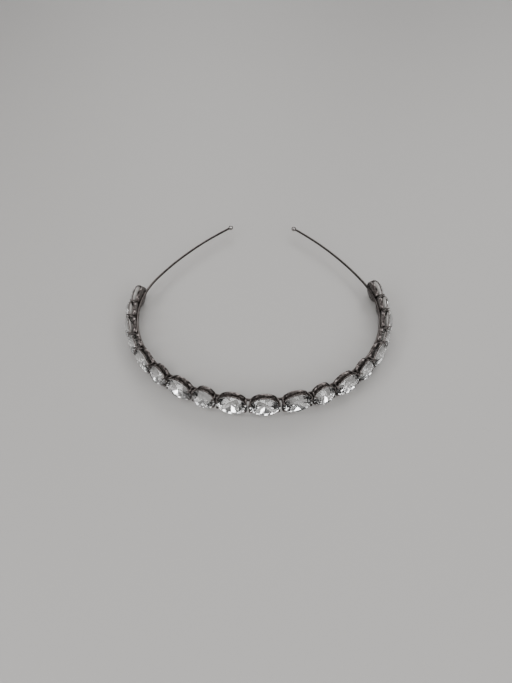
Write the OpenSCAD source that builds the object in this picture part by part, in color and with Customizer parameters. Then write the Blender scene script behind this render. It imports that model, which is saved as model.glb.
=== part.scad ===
// Crystal hairband tiara, lying flat on its lower edge.
// A bent spring wire carries a row of claw settings along its crown, each with one cut stone.
// The two bare arms run back and end in small balls. X is across, the crown faces -Y, Z is up.
// All sizes are in millimetres.

/* [Band wire] */
// Diameter of the round wire
wire_d = 1.4; // [1.1:0.1:1.5]
// Bend radius of the crown, to the middle of the wire
crown_bend_r = 65.5; // [65:0.5:70]
// Turn of the crown on each side of the middle
crown_turn = 114; // [113:1:120]
// Bend radius of the bare arm
arm_bend_r = 200; // [180:5:240]
// Turn of the bare arm
arm_turn = 20; // [17:0.5:22]
// Diameter of the ball on each wire end
ball_d = 3.1; // [2.5:0.1:3.3]

/* [Stones] */
// Number of stones on each side of the centre one
side_stones = 9; // [9:1:9]
// Shift of the whole row along the wire, towards the right arm
row_shift = 4.5; // [0:0.5:4.5]
// Spare length between neighbouring stones, measured along the wire
stone_gap = 0.15; // [0.12:0.01:0.3]
// Length of a large oval stone along the band
large_length = 14; // [13:0.1:14]
// Length of a small stone along the band
small_length = 11; // [10:0.1:11]
// Height of every stone across the band
stone_height = 10.8; // [10:0.1:11]
// Height of the faceted crown above the girdle
crown_rise = 1.7; // [1.4:0.1:1.9]
// Thickness of the girdle
girdle_thickness = 0.3; // [0.2:0.05:0.4]
// Depth of the pointed pavilion below the girdle
pavilion_depth = 2.2; // [1.9:0.1:2.3]
// Size of the flat table, as a share of the stone
table_share = 0.6; // [0.5:0.01:0.66]

/* [Claw settings] */
// Distance from the middle of the wire to the back of a setting
back_offset = 0.35; // [0.3:0.05:0.45]
// Thickness of the closed back plate
back_thickness = 1.5; // [0.6:0.1:1.5]
// How far the back plate's outline lies inside the stone's
back_inset = 0.4; // [0.4:0.1:1]
// Metal that shows outside the stone at the upper rail
rail_margin = 0.3; // [0.2:0.05:0.3]
// Width of the ledge under the girdle
rail_ledge = 0.25; // [0.2:0.05:0.4]
// Height of the upper rail
rail_height = 0.55; // [0.45:0.05:0.7]
// Diameter of a claw's upright, past the rail and the girdle
claw_d = 0.75; // [0.65:0.05:0.8]
// Diameter of the claw below the rail and of its tip, folded over the stone
tip_d = 0.6; // [0.4:0.05:0.65]
// Length of the folded tip
tip_length = 1.1; // [0.8:0.1:1.4]
// Position of a claw round the oval, from the long axis
claw_angle = 25; // [23:2:29]

/* [Hidden] */
// Middle of the girdle's lower edge, from the middle of the wire
girdle_w = 4.2;
// Running clearance where the wire passes a setting and where it enters a ball
solder_gap = 0.02;
// The wire ends this far short of the middle of its ball
wire_stop = 0.4;
// Clearance round the rounded end of the crown wire, in the hollow end of the arm
flex_gap = 0.05;
// The crown wire's rounded end is this much slimmer than the wire
flex_step = 0.04;
// Clearance between a claw's tip and the crown facets
tip_clearance = 0.12;
// Sides of the oval outlines; the half step puts a flat at the bottom
outline_sides = 40;
// Sides of a stone's table, and of its girdle
table_sides = 8;
girdle_sides = 16;
// Level of the corners between table and girdle, as a share of the crown's rise
break_level = 0.56;
// Level and size of the corners half way down the pavilion
pavilion_share = 0.5;
$fn = 48;

radian = 180 / PI;
crown_arc = crown_bend_r * crown_turn / radian;
arm_arc = arm_bend_r * arm_turn / radian;
tip_s = crown_arc + arm_arc;
band_z = (stone_height / 2 + rail_margin) * cos(180 / outline_sides);
top_w = girdle_w + girdle_thickness;
table_w = top_w + crown_rise;
seat_drop = pavilion_depth * rail_ledge / (stone_height / 2) + solder_gap;
rail_top = girdle_w - seat_drop;

// Unit vector that points away from the head at a heading along the wire
function outward(turn) = [sin(turn), -cos(turn)];

// Bend centres of the right half, with the crown's front point at the origin
crown_centre = [0, crown_bend_r];
arm_centre = crown_centre + (crown_bend_r - arm_bend_r) * outward(crown_turn);

// Heading of the wire at a distance s along it from the front
function heading(s) =
    s <= crown_arc ? s / crown_bend_r * radian
    : crown_turn + (s - crown_arc) / arm_bend_r * radian;

// Point of the wire at a distance s along it, from the crown's front point
function wire_point(s) =
    s <= crown_arc ? crown_centre + crown_bend_r * outward(heading(s))
    : arm_centre + arm_bend_r * outward(heading(s));

// The row's shift turns the centre stone a little, so a corner of its table reaches furthest forward
centre_turn = heading(row_shift);
table_corner = table_share * large_length / 2 * cos(180 / table_sides);
front_reach = table_w * cos(centre_turn) + table_corner * sin(centre_turn) - wire_point(row_shift)[1];

// The object's box is centred on the origin in Y
depth_total = front_reach + wire_point(tip_s)[1] + ball_d / 2;
front_y = front_reach - depth_total / 2;

// Stones alternate from the centre: large, large, small, large, small and so on
function is_large(k) = k == 0 || k % 2 == 1;
function stone_length(k) = is_large(k) ? large_length : small_length;
function pitch(k) = (stone_length(k - 1) + stone_length(k)) / 2 + stone_gap;
function row_length(k) = k == 0 ? 0 : row_length(k - 1) + pitch(k);

// Distance from the band's middle to stone k, along the wire on that side
function station(side, k) = row_length(k) + (side == "left" ? -row_shift : row_shift);

SIDE_NAMES = ["left", "right"];
STATIONS = [for (k = [1:side_stones]) k];

gunmetal = [0.30, 0.27, 0.26];
dark_wire = [0.36, 0.33, 0.32];
bright_tip = [0.62, 0.60, 0.59];
clear_glass = [0.88, 0.90, 0.92];

// Puts the crown's front point at its place in the part
module in_part() {
    translate([0, front_y, band_z])
        children();
}

// Mirrors a right-hand piece to the left
module on_side(side) {
    if (side == "left") {
        mirror([1, 0, 0])
            children();
    } else {
        children();
    }
}

// Frame of a stone: x along the wire, y up, z away from the head
module at_station(s) {
    translate(wire_point(s))
        rotate([0, 0, heading(s)])
            rotate([90, 0, 0])
                children();
}

// A bent stretch of round bar, between two headings
module bent_bar(centre, bend_r, from, to, d) {
    translate(centre)
        rotate([0, 0, from - 90])
            rotate_extrude(angle = to - from)
                translate([bend_r, 0])
                    circle(d = d);
}

// The stretch of wire behind the settings, at its own diameter or a little larger
module crown_bar(d) {
    bent_bar(crown_centre, crown_bend_r, -crown_turn, crown_turn, d);
}

// Crown of the band, with a rounded end where each arm flexes
module crown_wire() {
    color(dark_wire)
        in_part() {
            crown_bar(wire_d);
            for (side = SIDE_NAMES)
                on_side(side)
                    translate(wire_point(crown_arc))
                        sphere(d = wire_d - flex_step);
        }
}

// Bare springy arm, hollowed at its root to clear the crown's rounded end
module arm_wire(side) {
    end_turn = heading(tip_s - wire_stop);
    color(dark_wire)
        in_part()
            on_side(side)
                difference() {
                    bent_bar(arm_centre, arm_bend_r, crown_turn, end_turn, wire_d);
                    translate(wire_point(crown_arc))
                        sphere(d = wire_d + 2 * flex_gap);
                }
}

// Ball that blunts the wire's end, with the blind hole that takes the wire
module ball_tip(side) {
    color(bright_tip)
        in_part()
            on_side(side)
                translate(wire_point(tip_s))
                    rotate([0, 0, heading(tip_s)])
                        difference() {
                            sphere(d = ball_d);
                            rotate([0, -90, 0])
                                cylinder(d = wire_d + 2 * solder_gap, h = ball_d);
                        }
}

// Oval outline that stands a margin outside a stone
function oval(length, margin) = [
    for (i = [0:outline_sides - 1])
        let (a = 360 * (i + 0.5) / outline_sides)
            [(length / 2 + margin) * cos(a), (stone_height / 2 + margin) * sin(a)]
];

// Round bar from one point to another, rounded where it ends
module bar(from, to, d) {
    reach = to - from;
    translate(from)
        rotate([0, atan2(norm([reach[0], reach[1]]), reach[2]), atan2(reach[1], reach[0])]) {
            cylinder(d = d, h = norm(reach));
            translate([0, 0, norm(reach)])
                sphere(d = d);
        }
}

// One claw: it flares from the back plate to the rail, stands up past the girdle and folds over the stone
module claw(length, quadrant) {
    side_step = [cos(claw_angle), sin(claw_angle)];
    girdle = [length / 2 * side_step[0], stone_height / 2 * side_step[1]];
    inward = -girdle / norm(girdle);
    offset_out = claw_d / 2 + solder_gap;
    root = girdle - back_inset * side_step;
    upright = girdle + offset_out * side_step;
    lean = atan(crown_rise / ((1 - table_share) * norm(girdle)));
    lift = (claw_d / 2 + tip_clearance) / cos(lean) - offset_out * tan(lean);
    knee = [upright[0], upright[1], rail_top - rail_height / 2];
    shoulder = [upright[0], upright[1], top_w + lift];
    tip = shoulder + tip_length * [inward[0] * cos(lean), inward[1] * cos(lean), sin(lean)];
    mirror([quadrant[0], 0, 0])
        mirror([0, quadrant[1], 0]) {
            bar(knee, [root[0], root[1], back_offset + back_thickness / 2], tip_d);
            bar(knee, shoulder, claw_d);
            bar(shoulder, tip, tip_d);
        }
}

// Setting: closed back plate, open gallery, upper rail and four claws
module setting_body(length) {
    translate([0, 0, back_offset])
        linear_extrude(back_thickness)
            polygon(oval(length, -back_inset));
    translate([0, 0, rail_top - rail_height])
        linear_extrude(rail_height)
            difference() {
                polygon(oval(length, rail_margin));
                polygon(oval(length, -rail_ledge));
            }
    for (qx = [0, 1])
        for (qy = [0, 1])
            claw(length, [qx, qy]);
}

// Setting k on one side, with the groove that the wire is soldered into
module setting(side, k) {
    color(gunmetal)
        in_part()
            on_side(side)
                difference() {
                    at_station(station(side, k))
                        setting_body(stone_length(k));
                    crown_bar(wire_d + 2 * solder_gap);
                }
}

// One level of facet corners: count points, turned by a share of a step
function facet_ring(length, share, count, step, w) = [
    for (i = [0:count - 1])
        let (a = 360 * (i + step) / count)
            [share * length / 2 * cos(a), share * stone_height / 2 * sin(a), w]
];

// Cut stone: table, crown facets, girdle, pavilion facets and a point
module cut_stone(length) {
    break_share = (1 + table_share) / 2;
    corners = concat(
        facet_ring(length, table_share, table_sides, 0.5, table_w),
        facet_ring(length, break_share, table_sides, 0, top_w + crown_rise * break_level),
        facet_ring(length, 1, girdle_sides, 0, top_w),
        facet_ring(length, 1, girdle_sides, 0, girdle_w),
        facet_ring(length, pavilion_share, table_sides, 0, girdle_w - pavilion_depth * pavilion_share),
        [[0, 0, girdle_w - pavilion_depth]]
    );
    hull()
        polyhedron(points = corners, faces = [[for (i = [0:len(corners) - 1]) i]]);
}

// Stone k on one side
module stone(side, k) {
    color(clear_glass)
        in_part()
            on_side(side)
                at_station(station(side, k))
                    cut_stone(stone_length(k));
}

crown_wire();
arm_wire("left");  // left_arm_wire
arm_wire("right");  // right_arm_wire
ball_tip("left");  // left_ball_tip
ball_tip("right");  // right_ball_tip
setting("right", 0);  // centre_setting
stone("right", 0);  // centre_stone
for (side = SIDE_NAMES)
    for (k = STATIONS) {
        setting(side, k);
        stone(side, k);
    }
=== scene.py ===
"""Crystal hairband tiara: the looks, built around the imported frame."""

import math

import bmesh
import bpy
from mathutils import Matrix, Vector


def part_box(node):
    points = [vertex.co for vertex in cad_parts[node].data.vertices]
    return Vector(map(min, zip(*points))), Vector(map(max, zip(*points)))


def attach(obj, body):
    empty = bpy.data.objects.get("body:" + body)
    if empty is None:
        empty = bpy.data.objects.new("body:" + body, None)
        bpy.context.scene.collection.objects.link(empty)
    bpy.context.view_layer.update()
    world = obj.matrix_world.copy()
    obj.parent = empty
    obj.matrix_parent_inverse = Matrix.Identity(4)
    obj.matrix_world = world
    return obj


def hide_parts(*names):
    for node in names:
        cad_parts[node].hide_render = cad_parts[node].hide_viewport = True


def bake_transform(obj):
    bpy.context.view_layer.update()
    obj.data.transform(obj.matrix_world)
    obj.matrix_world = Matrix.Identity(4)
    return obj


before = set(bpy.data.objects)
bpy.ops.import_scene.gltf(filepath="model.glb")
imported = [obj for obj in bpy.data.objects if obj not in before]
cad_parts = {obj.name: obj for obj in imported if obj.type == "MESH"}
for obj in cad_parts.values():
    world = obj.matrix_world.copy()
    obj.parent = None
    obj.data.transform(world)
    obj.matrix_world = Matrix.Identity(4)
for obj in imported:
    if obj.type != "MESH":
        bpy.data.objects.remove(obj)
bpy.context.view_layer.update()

# ---------------------------------------------------------------- sizes, in millimetres
# A millimetre in Blender's units
MM = 0.001

WIRE_D = 1.4
CROWN_BEND_R = 65.5
CROWN_TURN = 114.0
ARM_BEND_R = 200.0
ARM_TURN = 20.0
BALL_D = 3.1

SIDE_STONES = 9
LARGE_LENGTH = 14.0
SMALL_LENGTH = 11.0
STONE_HEIGHT = 10.8
STONE_GAP = 0.15
ROW_SHIFT = 4.5

# Distances out from the middle of the wire: a setting's back, and the lower edge of a girdle
BACK_W = 0.35
GIRDLE_W = 4.2

# A stone's section; the shares are of its radius
GIRDLE_THICKNESS = 0.3
CROWN_RISE = 1.7
PAVILION_DEPTH = 2.2
TABLE_SHARE = 0.6
BREAK_SHARE = 0.8
LOWER_SHARE = 0.3
STONE_SIDES = 96

# The coat behind a stone's foil
LACQUER_GAP = 0.02
LACQUER_THICKNESS = 0.04

# A setting's plate, rail and claws
BACK_THICKNESS = 1.5
BACK_INSET = 0.4
BACK_SOFT = 0.16
BACK_SIDES = 72
RAIL_MARGIN = 0.3
RAIL_LEDGE = 0.25
RAIL_HEIGHT = 0.55
RAIL_SOFT_SHARE = 0.28
RAIL_SIDES = 96
CLAW_D = 0.75
CLAW_ROOT_D = 0.6
CLAW_TIP_LENGTH = 1.1
CLAW_ANGLE = 25.0
CLAW_GAP = 0.02
CLAW_TIP_GAP = 0.06
CLAW_BEND_R = 0.42
CLAW_SIDES = 12
# The claw's rounded end: share of the tip's length, and of the claw's thickness
CLAW_END = ((0.4, 0.93), (0.7, 0.8), (0.9, 0.62), (1.0, 0.3))
# Share of a softened edge's width at its middle corner
SOFT_MIDDLE = 0.3

# The wire: its arms start under the last setting and stop inside the balls
WIRE_STEP = 1.2
WIRE_SIDES = 24
ARM_UNDER_SETTING = 2.0
WIRE_STOP = 0.3
ARM_OVERRUN = 5
# Distances on either side of an arm's bend, short of the last setting; make_arm works out the two
# points but nothing uses them
BEND_REACH = {"left": 12.0, "right": 3.4}

# The ball and the collar where the wire enters it
COLLAR_WIDTH = 0.22
COLLAR_RISE = 0.05
COLLAR_SOFT = 0.08
BALL_STEPS = 28
BALL_SIDES = 40

# The camera as the picture was taken, in metres, degrees and pixels
CAMERA_AIM = Vector((-0.0007, -0.0274, 0.0))
CAMERA_DISTANCE = 0.270
CAMERA_ELEVATION = 43.1
CAMERA_TURN = 1.9
CLIP_START = 0.005
IMAGE_SIZE = (512, 683)
FOCAL_PIXELS = 513.0
SENSOR = 36.0

FLEX_S = CROWN_BEND_R * math.radians(CROWN_TURN)
TIP_S = FLEX_S + ARM_BEND_R * math.radians(ARM_TURN)

band_low, band_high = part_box("crown_wire")
FRONT_Y = band_low.y / MM + WIRE_D / 2
BAND_Z = (band_low.z + band_high.z) / 2 / MM


# ---------------------------------------------------------------- the band's line
def outward(turn):
    """Unit vector away from the head where the wire's heading is turn degrees."""
    a = math.radians(turn)
    return Vector((math.sin(a), -math.cos(a)))


def band(s):
    """Point and heading of the right half of the wire, at a distance s from the front."""
    centre = Vector((0, FRONT_Y + CROWN_BEND_R))
    stretches = ((CROWN_BEND_R, CROWN_TURN), (ARM_BEND_R, ARM_TURN + ARM_OVERRUN))
    turned = 0.0
    for i, (bend_r, turn) in enumerate(stretches):
        arc = bend_r * math.radians(turn)
        if s <= arc or i == len(stretches) - 1:
            turned += math.degrees(s / bend_r)
            return centre + bend_r * outward(turned), turned
        s -= arc
        turned += turn
        centre = centre + (bend_r - stretches[i + 1][0]) * outward(turned)


def band_point(s):
    """A point of the wire, in millimetres; a negative s is on the left half."""
    p, _ = band(abs(s))
    return Vector((math.copysign(p.x, s) if s else 0.0, p.y, BAND_Z))


def station_matrix(s):
    """Frame of a stone: x along the wire, y up, z away from the head."""
    p, turn = band(abs(s))
    out = outward(turn)
    side = -1 if s < 0 else 1
    w = Vector((side * out.x, out.y, 0))
    v = Vector((0, 0, 1))
    u = v.cross(w)
    m = Matrix((u, v, w)).transposed().to_4x4()
    m.translation = Vector((side * p.x, p.y, BAND_Z))
    return m


def stone_length(k):
    return LARGE_LENGTH if k == 0 or k % 2 else SMALL_LENGTH


def station(sign, k):
    """Distance along the wire to stone k, with the row's shift towards the right arm."""
    pitches = ((stone_length(i) + stone_length(i + 1)) / 2 + STONE_GAP for i in range(k))
    return ROW_SHIFT + sign * sum(pitches)


# ---------------------------------------------------------------- mesh helpers
def new_object(name, bm, materials, sharp_angle=35.0, smooth=True):
    """Turns a mesh in millimetres into an object in metres."""
    bm.normal_update()
    bmesh.ops.recalc_face_normals(bm, faces=bm.faces)
    limit = math.radians(sharp_angle)
    for edge in bm.edges:
        edge.smooth = smooth and len(edge.link_faces) == 2 and edge.calc_face_angle(0) < limit
    for face in bm.faces:
        face.smooth = smooth
    mesh = bpy.data.meshes.new(name)
    bm.transform(Matrix.Scale(MM, 4))
    bm.to_mesh(mesh)
    bm.free()
    for material in materials:
        mesh.materials.append(material)
    obj = bpy.data.objects.new(name, mesh)
    bpy.context.scene.collection.objects.link(obj)
    return obj


def add_rings(bm, rings, closed=False):
    """Skins a list of rings of points; open ends get a cap."""
    made = [[bm.verts.new(p) for p in ring] for ring in rings]
    pairs = list(zip(made, made[1:]))
    if closed:
        pairs.append((made[-1], made[0]))
    for a, b in pairs:
        for i in range(len(a)):
            j = (i + 1) % len(a)
            bm.faces.new((a[i], a[j], b[j], b[i]))
    if not closed:
        bm.faces.new(made[0])
        bm.faces.new(made[-1])


def tube_rings(path, radii, sides):
    """Rings of a round bar along a path, without twist."""
    rings = []
    normal = None
    for i, p in enumerate(path):
        ahead = path[min(i + 1, len(path) - 1)] - path[max(i - 1, 0)]
        ahead.normalize()
        if normal is None:
            normal = ahead.orthogonal().normalized()
        normal = (normal - normal.dot(ahead) * ahead).normalized()
        across = ahead.cross(normal)
        ring = []
        for j in range(sides):
            a = 2 * math.pi * j / sides
            ring.append(p + radii[i] * (math.cos(a) * normal + math.sin(a) * across))
        rings.append(ring)
    return rings


def oval_point(length, angle, offset):
    """A point that stands offset outside a stone's outline, square to it."""
    a, b = length / 2, STONE_HEIGHT / 2
    n = Vector((b * math.cos(angle), a * math.sin(angle))).normalized()
    return Vector((a * math.cos(angle), b * math.sin(angle))) + offset * n


def oval_ring(length, offset, w, sides):
    ring = []
    for i in range(sides):
        p = oval_point(length, 2 * math.pi * i / sides, offset)
        ring.append(Vector((p.x, p.y, w)))
    return ring


# ---------------------------------------------------------------- materials
# Depth of the fine grain, in metres
GRAIN = 0.00002


def material(name, build):
    m = bpy.data.materials.new(name)
    m.use_nodes = True
    nodes = m.node_tree.nodes
    links = m.node_tree.links
    build(nodes, links, nodes["Principled BSDF"])
    return m


def noise(nodes, links, scale, detail=4.0, rough=0.55):
    """Noise in the object's own coordinates, scale in cells per metre."""
    where = nodes.new("ShaderNodeTexCoord")
    tex = nodes.new("ShaderNodeTexNoise")
    tex.inputs["Scale"].default_value = scale
    tex.inputs["Detail"].default_value = detail
    tex.inputs["Roughness"].default_value = rough
    links.new(where.outputs["Object"], tex.inputs["Vector"])
    return tex.outputs["Fac"]


def ramp(nodes, links, source, stops):
    node = nodes.new("ShaderNodeValToRGB")
    while len(node.color_ramp.elements) < len(stops):
        node.color_ramp.elements.new(1.0)
    for element, (place, colour) in zip(node.color_ramp.elements, stops):
        element.position = place
        element.color = (*colour, 1)
    links.new(source, node.inputs["Fac"])
    return node.outputs["Color"]


def spread(nodes, links, source, low, high):
    node = nodes.new("ShaderNodeMapRange")
    node.inputs["To Min"].default_value = low
    node.inputs["To Max"].default_value = high
    links.new(source, node.inputs["Value"])
    return node.outputs["Result"]


def bump(nodes, links, source, distance, strength):
    node = nodes.new("ShaderNodeBump")
    node.inputs["Distance"].default_value = distance
    node.inputs["Strength"].default_value = strength
    links.new(source, node.inputs["Height"])
    return node.outputs["Normal"]


def gunmetal(dark, light, rough_low, rough_high):
    """Aged plating: patches of brown and grey, with a fine cast grain."""

    def build(nodes, links, shader):
        patches = noise(nodes, links, 900, 5)
        grain = noise(nodes, links, 9000, 3)
        shader.inputs["Metallic"].default_value = 1.0
        tint = ramp(nodes, links, patches, ((0.36, dark), (0.68, light)))
        gloss = spread(nodes, links, patches, rough_low, rough_high)
        links.new(tint, shader.inputs["Base Color"])
        links.new(gloss, shader.inputs["Roughness"])
        links.new(bump(nodes, links, grain, GRAIN, 0.35), shader.inputs["Normal"])

    return build


def cut_glass(nodes, links, shader):
    shader.inputs["Base Color"].default_value = (0.97, 0.98, 0.985, 1)
    shader.inputs["Transmission Weight"].default_value = 1.0
    shader.inputs["IOR"].default_value = 1.54
    haze = noise(nodes, links, 1500, 3)
    links.new(spread(nodes, links, haze, 0.0, 0.03), shader.inputs["Roughness"])


def foil(nodes, links, shader):
    """Silver foil on the back facets, as seen through the stone."""
    shader.inputs["Metallic"].default_value = 1.0
    crackle = noise(nodes, links, 2500, 4)
    silver = ramp(nodes, links, crackle, ((0.3, (0.7, 0.69, 0.68)), (0.7, (0.95, 0.95, 0.95))))
    links.new(silver, shader.inputs["Base Color"])
    links.new(spread(nodes, links, crackle, 0.02, 0.1), shader.inputs["Roughness"])


def lacquer(nodes, links, shader):
    """The pale coat that protects the foil from behind."""
    streaks = noise(nodes, links, 1200, 5)
    tint = ramp(nodes, links, streaks, ((0.3, (0.6, 0.57, 0.54)), (0.7, (0.88, 0.86, 0.83))))
    links.new(tint, shader.inputs["Base Color"])
    links.new(spread(nodes, links, streaks, 0.15, 0.35), shader.inputs["Roughness"])
    links.new(bump(nodes, links, streaks, GRAIN, 0.2), shader.inputs["Normal"])


SETTING_METAL = material(
    "gunmetal_setting", gunmetal((0.042, 0.036, 0.034), (0.18, 0.16, 0.153), 0.18, 0.36)
)
WIRE_METAL = material(
    "gunmetal_wire", gunmetal((0.04, 0.035, 0.033), (0.12, 0.105, 0.1), 0.25, 0.4)
)
BALL_METAL = material(
    "polished_ball", gunmetal((0.2, 0.19, 0.186), (0.32, 0.305, 0.3), 0.04, 0.1)
)
GLASS = material("cut_glass", cut_glass)
FOIL = material("silver_foil", foil)
LACQUER = material("foil_lacquer", lacquer)


# ---------------------------------------------------------------- stones
# Material slots of a stone, after its glass
FOILED = 1
COATED = 2


def cut(bm, normal, distance):
    """Grinds away all that lies beyond a plane, and closes the facet."""
    n = normal.normalized()
    bmesh.ops.bisect_plane(
        bm,
        geom=bm.verts[:] + bm.edges[:] + bm.faces[:],
        plane_co=n * distance,
        plane_no=n,
        clear_outer=True,
        dist=1e-6,
    )
    bmesh.ops.holes_fill(bm, edges=[e for e in bm.edges if e.is_boundary], sides=0)


def facet(bm, turn, slope, reach, height, upward):
    """Cuts the plane that passes radius reach at a height, falling by slope per unit of radius."""
    a = math.radians(turn)
    up = 1 if upward else -1
    n = Vector((slope * math.cos(a), slope * math.sin(a), up))
    at = Vector((reach * math.cos(a), reach * math.sin(a), height))
    cut(bm, n, at.dot(n.normalized()))


def stone_mesh(length):
    """A brilliant cut, ground as a round stone of unit radius and then drawn out to an oval."""
    main = 8
    half_turn = 180 / main
    quarter_turn = half_turn / 2
    full_step = math.radians(half_turn)
    half_step = math.radians(quarter_turn)
    top = CROWN_RISE
    low = -GIRDLE_THICKNESS
    bm = bmesh.new()
    circle = [2 * math.pi * i / STONE_SIDES for i in range(STONE_SIDES)]
    rings = []
    for z in (low - PAVILION_DEPTH - 1, top + 1):
        rings.append([Vector((math.cos(a), math.sin(a), z)) for a in circle])
    add_rings(bm, rings)
    cut(bm, Vector((0, 0, 1)), top)

    kite_slope = top / (1 - TABLE_SHARE)
    break_z = kite_slope * (1 - BREAK_SHARE * math.cos(full_step))
    star_slope = (top - break_z) / (BREAK_SHARE - TABLE_SHARE * math.cos(full_step))
    girdle_slope = break_z / (math.cos(half_step) * (1 - BREAK_SHARE))
    main_slope = PAVILION_DEPTH
    lower_z = main_slope * (1 - LOWER_SHARE * math.cos(full_step))
    lower_slope = lower_z / (math.cos(half_step) * (1 - LOWER_SHARE))
    for i in range(main):
        turn = 2 * half_turn * i
        facet(bm, turn + half_turn, kite_slope, 1, 0, True)
        facet(bm, turn, star_slope, BREAK_SHARE, break_z, True)
        facet(bm, turn + half_turn, main_slope, 1, low, False)
    for i in range(2 * main):
        turn = half_turn * i + quarter_turn
        facet(bm, turn, girdle_slope, math.cos(half_step), 0, True)
        facet(bm, turn, lower_slope, math.cos(half_step), low, False)
    bmesh.ops.dissolve_limit(bm, angle_limit=math.radians(0.5), verts=bm.verts, edges=bm.edges)
    bmesh.ops.recalc_face_normals(bm, faces=bm.faces)
    for face in bm.faces:
        face.material_index = FOILED if face.normal.z < -0.3 else 0
    size = Matrix.Diagonal((length / 2, STONE_HEIGHT / 2, 1, 1))
    bm.transform(Matrix.Translation((0, 0, GIRDLE_W + GIRDLE_THICKNESS)) @ size)
    return bm


def lower(bm, geometry, distance):
    verts = [item for item in geometry if isinstance(item, bmesh.types.BMVert)]
    bmesh.ops.translate(bm, vec=(0, 0, -distance), verts=verts)


def add_lacquer(bm):
    """A thin closed coat behind the foiled facets."""
    foiled = [face for face in bm.faces if face.material_index == FOILED]
    sheet = bmesh.ops.duplicate(bm, geom=foiled)["geom"]
    inner = [face for face in sheet if isinstance(face, bmesh.types.BMFace)]
    for face in inner:
        face.material_index = COATED
    lower(bm, sheet, LACQUER_GAP)
    outer = bmesh.ops.extrude_face_region(bm, geom=inner, use_keep_orig=True)["geom"]
    lower(bm, outer, LACQUER_THICKNESS)


def make_stone(name, k, s, node):
    bm = stone_mesh(stone_length(k))
    add_lacquer(bm)
    bm.transform(station_matrix(s))
    piece = new_object(name, bm, (GLASS, FOIL, LACQUER), smooth=False)
    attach(piece, "crown")
    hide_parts(node)


# ---------------------------------------------------------------- claw settings
def add_plate(bm, length):
    """Closed back plate with softened edges."""
    soft = BACK_SOFT
    middle = soft * SOFT_MIDDLE
    edge = -BACK_INSET
    top = BACK_W + BACK_THICKNESS
    levels = (
        (edge - soft, BACK_W),
        (edge - middle, BACK_W + middle),
        (edge, BACK_W + soft),
        (edge, top - soft),
        (edge - middle, top - middle),
        (edge - soft, top),
    )
    add_rings(bm, [oval_ring(length, offset, w, BACK_SIDES) for offset, w in levels])


def add_rail(bm, length, top):
    """A ring of rounded bar round the stone, with its inner edge as a ledge under the girdle."""
    inner, outer = -RAIL_LEDGE, RAIL_MARGIN
    bottom = top - RAIL_HEIGHT
    soft = min(RAIL_HEIGHT, outer - inner) * RAIL_SOFT_SHARE
    middle = soft * SOFT_MIDDLE
    corners = (
        (inner + soft, bottom),
        (outer - soft, bottom),
        (outer - middle, bottom + middle),
        (outer, bottom + soft),
        (outer, top - soft),
        (outer - middle, top - middle),
        (outer - soft, top),
        (inner + soft, top),
        (inner, top - soft),
        (inner, bottom + soft),
    )
    rings = []
    for i in range(RAIL_SIDES):
        angle = 2 * math.pi * i / RAIL_SIDES
        ring = []
        for offset, w in corners:
            p = oval_point(length, angle, offset)
            ring.append(Vector((p.x, p.y, w)))
        rings.append(ring)
    add_rings(bm, rings, closed=True)


def rounded_path(points, bend_r, steps=6):
    """A path through the points, with each corner bent to a radius."""
    path = [points[0]]
    for before, corner, after in zip(points, points[1:], points[2:]):
        a = (before - corner).normalized()
        b = (after - corner).normalized()
        turn = math.pi - a.angle(b)
        set_back = bend_r * math.tan(turn / 2)
        middle = corner + (a + b).normalized() * bend_r / math.cos(turn / 2)
        start = corner + a * set_back - middle
        axis = start.cross(corner + b * set_back - middle).normalized()
        for i in range(steps + 1):
            path.append(middle + Matrix.Rotation(turn * i / steps, 3, axis) @ start)
    path.append(points[-1])
    return path


def add_claw(bm, length, sx, sy):
    """A claw: it flares from the plate to the rail, stands up and folds over the crown facets."""
    angle = math.radians(CLAW_ANGLE)
    step = Vector((math.cos(angle), math.sin(angle), 0))
    girdle = Vector((length / 2 * step.x, STONE_HEIGHT / 2 * step.y, 0))
    inward = -girdle.normalized()
    up = Vector((0, 0, 1))
    offset_out = CLAW_D / 2 + CLAW_GAP
    lean = math.atan(CROWN_RISE / ((1 - TABLE_SHARE) * girdle.length))
    lift = (CLAW_D / 2 + CLAW_TIP_GAP) / math.cos(lean) - offset_out * math.tan(lean)
    upright = girdle + offset_out * step
    root = girdle - BACK_INSET * step + up * (BACK_W + BACK_THICKNESS / 2)
    knee = upright + up * (GIRDLE_W - CLAW_BEND_R)
    shoulder = upright + up * (GIRDLE_W + GIRDLE_THICKNESS + lift)
    along = math.sin(lean) * up + math.cos(lean) * inward
    tip = shoulder + CLAW_TIP_LENGTH * along
    path = rounded_path([root, knee, shoulder, tip], CLAW_BEND_R)
    end = path.pop()
    radii = [CLAW_ROOT_D / 2] + [CLAW_D / 2] * (len(path) - 1)
    start = path[-1]
    for share, slimming in CLAW_END:
        radius = slimming * CLAW_D / 2
        drop = (math.cos(lean) * up - math.sin(lean) * inward) * (CLAW_D / 2 - radius)
        path.append(start.lerp(end, share) - drop)
        radii.append(radius)
    flip = Matrix.Diagonal((sx, sy, 1))
    rings = tube_rings(path, radii, CLAW_SIDES)
    add_rings(bm, [[flip @ p for p in ring] for ring in rings])


def make_setting(name, k, s, node):
    length = stone_length(k)
    bm = bmesh.new()
    add_plate(bm, length)
    seat_drop = PAVILION_DEPTH * RAIL_LEDGE / (STONE_HEIGHT / 2) + CLAW_GAP
    add_rail(bm, length, GIRDLE_W - seat_drop)
    for sx in (-1, 1):
        for sy in (-1, 1):
            add_claw(bm, length, sx, sy)
    bm.transform(station_matrix(s))
    piece = new_object(name, bm, (SETTING_METAL,))
    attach(piece, "crown")
    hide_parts(node)


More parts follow.
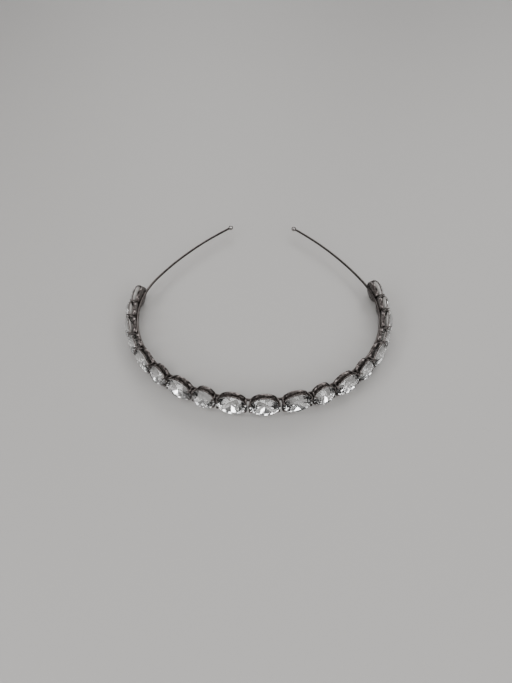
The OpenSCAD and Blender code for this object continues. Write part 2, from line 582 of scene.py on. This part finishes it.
# ---------------------------------------------------------------- wires and balls
def wire_mesh(s_from, s_to):
    count = round(abs(s_to - s_from) / WIRE_STEP)
    path = [band_point(s_from + (s_to - s_from) * i / count) for i in range(count + 1)]
    bm = bmesh.new()
    add_rings(bm, tube_rings(path, [WIRE_D / 2] * len(path), WIRE_SIDES))
    return bm


def arm_start(sign):
    """The arm's piece takes over behind the last setting, where the seam can't be seen."""
    return station(sign, SIDE_STONES) + sign * ARM_UNDER_SETTING


def make_crown_band():
    piece = new_object("crown_band", wire_mesh(arm_start(-1), arm_start(1)), (WIRE_METAL,))
    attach(piece, "crown")
    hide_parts("crown_wire")


def make_arm(side, sign):
    bm = wire_mesh(arm_start(sign), sign * (TIP_S - WIRE_STOP))
    piece = new_object(f"{side}_springy_arm", bm, (WIRE_METAL,))
    start = band_point(sign * (FLEX_S - BEND_REACH[side])) * MM
    end = band_point(sign * (FLEX_S + BEND_REACH[side])) * MM
    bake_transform(piece)
    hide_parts(f"{side}_arm_wire")


def make_ball(side, sign):
    """A turned ball: round, with a short collar where the wire enters."""
    r = BALL_D / 2
    collar_r = WIRE_D / 2 + COLLAR_WIDTH
    start = math.asin(collar_r / r)
    profile = [
        (WIRE_D / 2 - COLLAR_RISE, -r - COLLAR_RISE),
        (collar_r - COLLAR_SOFT, -r - COLLAR_RISE),
        (collar_r, -r + COLLAR_RISE),
    ]
    for i in range(BALL_STEPS):
        a = start + (math.pi - start) * i / BALL_STEPS
        profile.append((r * math.sin(a), -r * math.cos(a)))
    rings = []
    for radius, z in profile:
        circle = [2 * math.pi * j / BALL_SIDES for j in range(BALL_SIDES)]
        rings.append([Vector((radius * math.cos(a), radius * math.sin(a), z)) for a in circle])
    bm = bmesh.new()
    add_rings(bm, rings)
    ahead = (band_point(sign * TIP_S) - band_point(sign * (TIP_S - 1))).normalized()
    turn = ahead.to_track_quat("Z", "Y").to_matrix().to_4x4()
    bm.transform(Matrix.Translation(band_point(sign * TIP_S)) @ turn)
    piece = new_object(f"{side}_ball", bm, (BALL_METAL,), sharp_angle=50)
    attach(piece, f"{side}_arm")
    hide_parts(f"{side}_ball_tip")


make_crown_band()
for side, sign in (("left", -1), ("right", 1)):
    make_arm(side, sign)
    make_ball(side, sign)
    for k in range(1, SIDE_STONES + 1):
        make_setting(f"{side}_claw_setting_{k}", k, station(sign, k), f"{side}_setting_{k}")
        make_stone(f"{side}_crystal_{k}", k, station(sign, k), f"{side}_stone_{k}")
make_setting("centre_claw_setting", 0, ROW_SHIFT, "centre_setting")
make_stone("centre_crystal", 0, ROW_SHIFT, "centre_stone")


# ---------------------------------------------------------------- floor, light and camera
FLOOR_HALF = 4000

# Light of the room, from its dark patches to its bright ones
ROOM = (
    (0.36, (0.02, 0.02, 0.021)),
    (0.46, (0.18, 0.18, 0.183)),
    (0.57, (0.45, 0.45, 0.45)),
    (0.65, (5.5, 5.45, 5.4)),
)
ROOM_PATCHES = 1.9
# Plain backdrop round the horizon, up to the first height; patches from the second height on
BACKDROP = (0.22, 0.218, 0.215)
BACKDROP_HEIGHT = (0.3, 0.42)

# Softboxes: turn from the front, height angle, width in metres and power in watts
SOFTBOXES = {
    "key": (175, 72, 0.6, 1.2),
    "spark": (20, 78, 0.14, 0.4),
    "front": (-11, 43, 0.3, 2.2),
    "right": (70, 45, 0.35, 2.4),
    "left": (-75, 42, 0.3, 2.4),
    "low_right": (30, 24, 0.4, 3.2),
    "low_left": (-36, 20, 0.35, 2.6),
}
SOFTBOX_DISTANCE = 1.04


def make_floor():
    bm = bmesh.new()
    bmesh.ops.create_grid(bm, x_segments=1, y_segments=1, size=FLOOR_HALF)

    def pale(nodes, links, shader):
        shader.inputs["Base Color"].default_value = (0.37, 0.36, 0.35, 1)
        shader.inputs["Roughness"].default_value = 0.55

    floor = new_object("floor", bm, (material("pale_floor", pale),))


def make_softbox(name, turn, height, size, watts):
    data = bpy.data.lights.new(name, "AREA")
    data.shape = "DISK"
    data.size = size
    data.energy = watts
    light = bpy.data.objects.new(name, data)
    around = Matrix.Rotation(math.radians(turn), 4, "Z")
    tilt = Matrix.Rotation(math.radians(90 - height), 4, "X")
    light.matrix_world = around @ tilt @ Matrix.Translation((0, 0, SOFTBOX_DISTANCE))
    bpy.context.scene.collection.objects.link(light)


def make_world():
    """A room seen far out of focus: soft bright and dark patches that the facets can pick up."""
    world = bpy.data.worlds.new("studio")
    world.use_nodes = True
    bpy.context.scene.world = world
    nodes, links = world.node_tree.nodes, world.node_tree.links
    where = nodes.new("ShaderNodeTexCoord")
    patches = nodes.new("ShaderNodeTexNoise")
    patches.inputs["Scale"].default_value = ROOM_PATCHES
    patches.inputs["Detail"].default_value = 1.5
    links.new(where.outputs["Generated"], patches.inputs["Vector"])
    split = nodes.new("ShaderNodeSeparateXYZ")
    links.new(where.outputs["Generated"], split.inputs["Vector"])
    height = nodes.new("ShaderNodeMapRange")
    height.inputs["From Min"].default_value = BACKDROP_HEIGHT[0]
    height.inputs["From Max"].default_value = BACKDROP_HEIGHT[1]
    links.new(split.outputs["Z"], height.inputs["Value"])
    mix = nodes.new("ShaderNodeMixRGB")
    mix.inputs["Color1"].default_value = (*BACKDROP, 1)
    links.new(height.outputs["Result"], mix.inputs["Fac"])
    links.new(ramp(nodes, links, patches.outputs["Fac"], ROOM), mix.inputs["Color2"])
    links.new(mix.outputs["Color"], nodes["Background"].inputs["Color"])


def make_camera():
    data = bpy.data.cameras.new("camera")
    data.sensor_width = SENSOR
    data.lens = SENSOR * FOCAL_PIXELS / max(IMAGE_SIZE)
    data.clip_start = CLIP_START
    camera = bpy.data.objects.new("camera", data)
    turn = Matrix.Rotation(math.radians(CAMERA_TURN), 4, "Z")
    tilt = Matrix.Rotation(math.radians(90 - CAMERA_ELEVATION), 4, "X")
    back = Matrix.Translation((0, 0, CAMERA_DISTANCE))
    camera.matrix_world = Matrix.Translation(CAMERA_AIM) @ turn @ tilt @ back
    bpy.context.scene.collection.objects.link(camera)
    bpy.context.scene.camera = camera


make_floor()
for name, softbox in SOFTBOXES.items():
    make_softbox(name, *softbox)
make_world()
make_camera()
